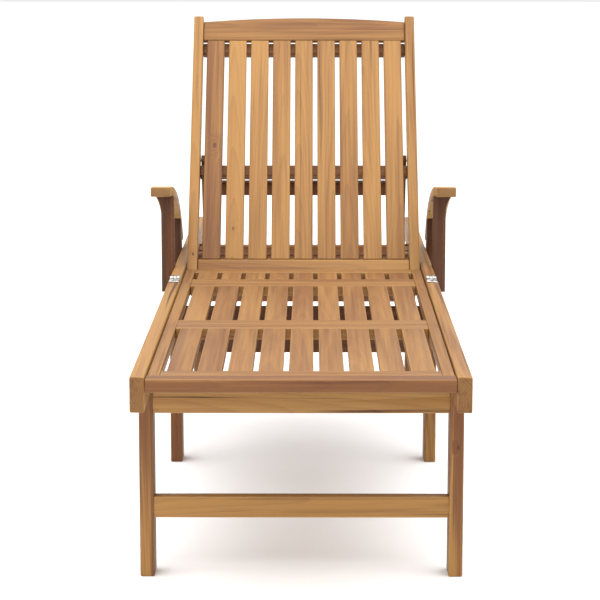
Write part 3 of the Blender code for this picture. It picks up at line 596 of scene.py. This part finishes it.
class LOUNGER_OT_seat_panels(bpy.types.Operator):
    """Build the three seat panels from separate strips and slats"""

    bl_idname = "lounger.seat_panels"
    bl_label = "Seat Panels"

    def execute(self, context):
        sizes = context.scene.lounger_sizes
        plan = (("front", "foot_half", sizes.front_cross), ("middle", "foot_half", sizes.cross),
                ("rear", "rear_half", sizes.cross))
        for order, (label, body, front_cross) in enumerate(plan):
            self.build_panel(sizes, label, body, front_cross, order)
        return {"FINISHED"}

    def build_panel(self, sizes, label, body, front_cross, order):
        node = label + "_seat_panel"
        low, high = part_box(node)
        half = high.x - sizes.side_gap
        inner = half - sizes.stile
        seed = PANEL_SEED + order * PANEL_SEED_STEP
        boards = []
        for side_label, side in SIDES:
            x_low, x_high = sorted((side * inner, side * half))
            boards.append((f"{label}_panel_stile_{side_label}", (x_low, x_high),
                           (low.y, high.y), low.z, LENGTHWISE, CROSSWISE, 0.50))
        strip = inner - sizes.joint
        crosses = (("front", low.y, low.y + front_cross), ("rear", high.y - sizes.cross, high.y))
        for cross_label, y_low, y_high in crosses:
            boards.append((f"{label}_panel_cross_{cross_label}", (-strip, strip),
                           (y_low, y_high), low.z, CROSSWISE, LENGTHWISE, 0.52))
        count = sizes.slat_count
        slat = (2 * inner - (count + 1) * sizes.spacing) / count
        y_low = low.y + front_cross + sizes.joint
        y_high = high.y - sizes.cross - sizes.joint
        for i in range(count):
            x_low = -inner + sizes.spacing + i * (slat + sizes.spacing)
            tone = 0.45 + 0.07 * math.sin(2.4 * i + 1.7 * order)
            boards.append((f"{label}_panel_slat_{i + 1}", (x_low, x_low + slat),
                           (y_low, y_high), high.z - sizes.slat_depth, LENGTHWISE, CROSSWISE,
                           tone))
        for i, (name, x, y, bottom, along, across, tone) in enumerate(boards):
            corners = Vector((x[0], y[0], bottom)), Vector((x[1], y[1], high.z))
            piece = plank(name, *corners, sizes.round_edge, body)
            paint(piece, teak(name, corners, along, across, seed + i, tone, sapwood=0.08,
                              contrast=0.75))
            if i == 0:
                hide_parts(node)


class LOUNGER_OT_hinges(bpy.types.Operator):
    """Finish the hinges in brushed steel and screw them down"""

    bl_idname = "lounger.hinges"
    bl_label = "Hinges"

    def execute(self, context):
        sizes = context.scene.lounger_sizes
        colour = tuple(context.scene.lounger_finish.steel)
        plate = steel("hinge_steel", colour, 0.30)
        bright = steel("screw_steel", [min(1.0, c * 1.25) for c in colour], 0.22)
        leaves = [(name, node) for name, node in frame["nodes"].items() if "hinge" in name]
        for name, node in leaves:
            paint(node, plate)
            soften(node, LEAF_EDGE, segments=1)
            self.add_screws(name, sizes, bright)
        return {"FINISHED"}

    def add_screws(self, name, sizes, material):
        """Two domed heads on the open part of a leaf, clear of its knuckles."""
        low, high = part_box(name)
        body = frame["nodes"][name]["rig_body"]
        if name.startswith("fold"):
            pin = JOINT_PLACES["foot_half_fold"]
            far = low.y if abs(low.y - pin.y) > abs(high.y - pin.y) else high.y
            spots = [Vector((0.0, pin.y + (far - pin.y) * share, low.z + LEAF_THICKNESS))
                     for share in SCREW_SHARES]
            axis = UPRIGHT
        elif "rail_leaf" in name:
            pin = JOINT_PLACES["front_leg_fold"]
            spots = [Vector((0.0, pin.y + (high.y - pin.y) * share, high.z - LEAF_THICKNESS))
                     for share in SCREW_SHARES]
            axis = -UPRIGHT
        else:
            pin = JOINT_PLACES["front_leg_fold"]
            spots = [Vector((0.0, pin.y - PIN_TO_LEAF, pin.z + (low.z - pin.z) * share))
                     for share in SCREW_SHARES]
            axis = LENGTHWISE
        middle = (low.x + high.x) / 2
        spread = (high.x - low.x) * SCREW_SPREAD
        for i, spot in enumerate(spots):
            spot.x = middle + (spread if i % 2 else -spread)
            screw = turned(f"{name}_screw_{i + 1}", spot, axis, dome(sizes.screw, SCREW_RISE),
                           20, body)
            paint(screw, material)


class LOUNGER_OT_bolts(bpy.types.Operator):
    """Finish the bolts and cap the ones the back turns on"""

    bl_idname = "lounger.bolts"
    bl_label = "Bolts"

    def execute(self, context):
        material = steel("bolt_steel", tuple(context.scene.lounger_finish.steel), 0.26)
        for name, node in frame["nodes"].items():
            if "_bolt_" in name:
                paint(node, material)
        pivot = JOINT_PLACES["back_recline"]
        for label, side in SIDES:
            low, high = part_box("rear_rail_" + label)
            outer = high.x if side > 0 else low.x
            centre = Vector((outer + side * CAP_GAP, pivot.y, pivot.z))
            cap = turned("back_pivot_cap_" + label, centre, Vector((side, 0.0, 0.0)),
                         dome(CAP_RADIUS, CAP_RISE), 24, "backrest")
            paint(cap, material)
        return {"FINISHED"}


class LOUNGER_OT_plugs(bpy.types.Operator):
    """Plug the pinned tenons on the outer faces of the legs"""

    bl_idname = "lounger.plugs"
    bl_label = "Wooden Plugs"

    def execute(self, context):
        radius = context.scene.lounger_sizes.plug
        profile = ((radius, 0.0), (radius, PLUG_RISE), (radius * PLUG_TOP_SHARE, PLUG_TOP))
        joints = (("front_leg", "front_apron", "front_leg_frame"),
                  ("front_leg", "front_stretcher", "front_leg_frame"),
                  ("middle_leg", "middle_cross_rail", "rear_half"),
                  ("rear_leg", "rear_stretcher", "rear_half"))
        seed = PLUG_SEED
        for leg, bar, body in joints:
            bar_low, bar_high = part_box(bar)
            spot = (bar_low + bar_high) / 2
            for label, side in SIDES:
                low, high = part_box(f"{leg}_{label}")
                outer = high.x if side > 0 else low.x
                centre = Vector((outer - side * PLUG_SINK, spot.y, spot.z))
                name = f"{bar}_plug_{label}"
                plug = turned(name, centre, Vector((side, 0.0, 0.0)), profile, 24, body)
                reach = Vector((radius, radius, radius))
                paint(plug, teak(name, (centre - reach, centre + reach), CROSSWISE, UPRIGHT,
                                 seed, tone=0.45, eased=False))
                seed += 1
        return {"FINISHED"}


class LOUNGER_OT_stage(bpy.types.Operator):
    """Lay a plain pale floor and set the camera and the soft studio light"""

    bl_idname = "lounger.stage"
    bl_label = "Studio"

    def execute(self, context):
        stage = context.scene.lounger_stage
        self.lay_floor(stage)
        self.set_camera(context, stage)
        self.add_light("overhead", place=(0.0, -0.6, 3.2), aim=(0.0, 0.1, 0.4), size=6.0,
                       power=stage.overhead)
        self.add_light("fill", place=(-1.2, -4.0, 2.0), aim=(0.0, 0.0, 0.4), size=2.2,
                       power=stage.fill)
        self.light_room(context, stage)
        context.scene.view_settings.view_transform = "Standard"
        return {"FINISHED"}

    def light_room(self, context, stage):
        """Soft light from all round, stronger from overhead."""
        world = bpy.data.worlds.new("room")
        world.use_nodes = True
        graph = Graph(world.node_tree)
        there = graph.node("ShaderNodeTexCoord", None, None, "Generated")
        height = graph.dot(there, UPRIGHT).larger(0.0)
        strength = height * (stage.ceiling - stage.walls) + stage.walls
        background = world.node_tree.nodes["Background"]
        world.node_tree.links.new(strength.socket, background.inputs["Strength"])
        background.inputs["Color"].default_value = (1.0, 1.0, 1.0, 1.0)
        context.scene.world = world

    def lay_floor(self, stage):
        bm = bmesh.new()
        reach = 30.0
        corners = [bm.verts.new((x, y, 0.0)) for x, y in
                   ((-reach, -reach), (reach, -reach), (reach, reach), (-reach, reach))]
        bm.faces.new(corners)
        mesh = bpy.data.meshes.new("floor")
        bm.to_mesh(mesh)
        bm.free()
        floor = bpy.data.objects.new("floor", mesh)
        bpy.context.collection.objects.link(floor)
        material, _, shader = new_material("pale_floor")
        shader.inputs["Base Color"].default_value = opaque(stage.floor)
        shader.inputs["Roughness"].default_value = 0.85
        paint(floor, material)

    def set_camera(self, context, stage):
        data = bpy.data.cameras.new("camera")
        data.lens = stage.lens
        data.sensor_width = 36.0
        camera = bpy.data.objects.new("camera", data)
        camera.location = stage.camera_place
        camera.rotation_euler = (math.pi / 2 - stage.pitch, 0.0, stage.yaw)
        context.collection.objects.link(camera)
        context.scene.camera = camera

    def add_light(self, name, place, aim, size, power):
        data = bpy.data.lights.new(name, "AREA")
        data.shape = "DISK"
        data.size = size
        data.energy = power
        light = bpy.data.objects.new(name, data)
        light.location = place
        light.rotation_euler = (Vector(aim) - Vector(place)).to_track_quat("-Z", "Y").to_euler()
        bpy.context.collection.objects.link(light)


STEPS = (LOUNGER_OT_frame_boards, LOUNGER_OT_back_slats, LOUNGER_OT_seat_panels,
         LOUNGER_OT_hinges, LOUNGER_OT_bolts, LOUNGER_OT_plugs, LOUNGER_OT_stage)


class LOUNGER_PT_build(bpy.types.Panel):
    """The lounger's pieces, in the order they are made"""

    bl_idname = "LOUNGER_PT_build"
    bl_label = "Sun Lounger"
    bl_space_type = "VIEW_3D"
    bl_region_type = "UI"
    bl_category = "Lounger"

    def draw(self, context):
        for step in STEPS:
            self.layout.operator(step.bl_idname)


GROUPS = (("lounger_finish", LoungerFinish), ("lounger_sizes", LoungerSizes),
          ("lounger_stage", LoungerStage))


def register():
    for _, group in GROUPS:
        bpy.utils.register_class(group)
    for step in STEPS:
        bpy.utils.register_class(step)
    bpy.utils.register_class(LOUNGER_PT_build)
    for name, group in GROUPS:
        setattr(bpy.types.Scene, name, PointerProperty(type=group))


def unregister():
    for name, _ in GROUPS:
        delattr(bpy.types.Scene, name)
    bpy.utils.unregister_class(LOUNGER_PT_build)
    for step in reversed(STEPS):
        bpy.utils.unregister_class(step)
    for _, group in reversed(GROUPS):
        bpy.utils.unregister_class(group)


def main():
    register()
    bpy.ops.lounger.frame_boards()
    bpy.ops.lounger.back_slats()
    bpy.ops.lounger.seat_panels()
    bpy.ops.lounger.hinges()
    bpy.ops.lounger.bolts()
    bpy.ops.lounger.plugs()
    bpy.ops.lounger.stage()


if __name__ == "__main__":
    main()
